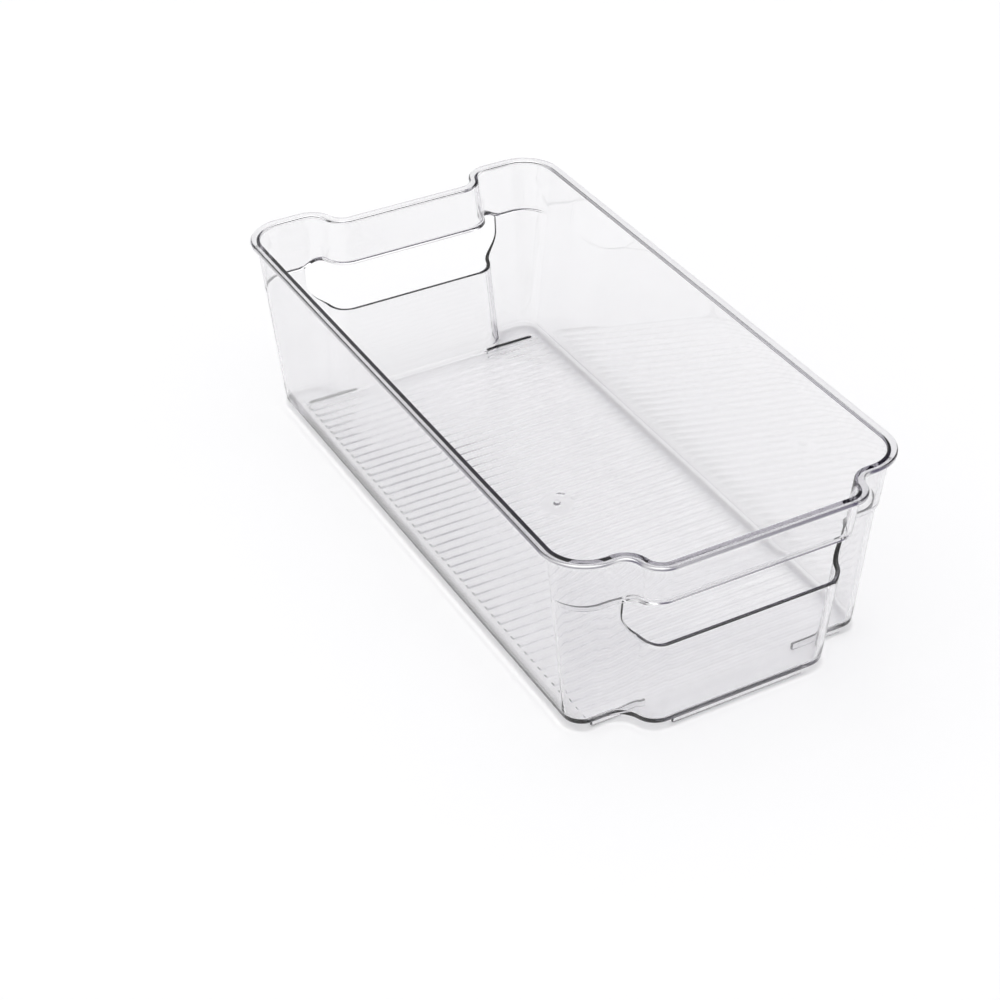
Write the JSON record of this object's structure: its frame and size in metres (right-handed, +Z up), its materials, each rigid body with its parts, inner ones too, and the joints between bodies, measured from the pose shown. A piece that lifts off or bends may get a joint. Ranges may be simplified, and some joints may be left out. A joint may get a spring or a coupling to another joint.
{
  "type": "fridge bin",
  "caption": "Clear plastic open-top bin for a fridge shelf, with leaning walls, a rounded lip, a ribbed floor on low rails and a hand-hole in each end.",
  "frame": {"origin": "on the surface the bin stands on, under the middle of its overall box", "axes": "+X along the length towards the end that bulges out, +Y to the right-hand long wall, +Z up"},
  "size_m": [0.315, 0.16, 0.09],
  "materials": {
    "clear_plastic": "crystal-clear injection-moulded styrenic plastic, polished"
  },
  "bodies": {
    "root": {"left_side_wall": "clear_plastic", "right_side_wall": "clear_plastic", "rear_left_corner": "clear_plastic", "rear_right_corner": "clear_plastic", "front_left_corner": "clear_plastic", "front_right_corner": "clear_plastic", "rear_panel": "clear_plastic", "front_panel": "clear_plastic", "rear_handle_band": "clear_plastic", "front_handle_band": "clear_plastic", "left_lip": "clear_plastic", "right_lip": "clear_plastic", "rear_lip": "clear_plastic", "front_lip": "clear_plastic", "floor_panel": "clear_plastic", "floor_ribs": "clear_plastic", "gate_mark": "clear_plastic", "front_foot_rail": "clear_plastic", "rear_left_foot_rail": "clear_plastic", "rear_right_foot_rail": "clear_plastic", "front_left_foot_rail": "clear_plastic", "front_right_foot_rail": "clear_plastic"}
  },
  "joints": []
}
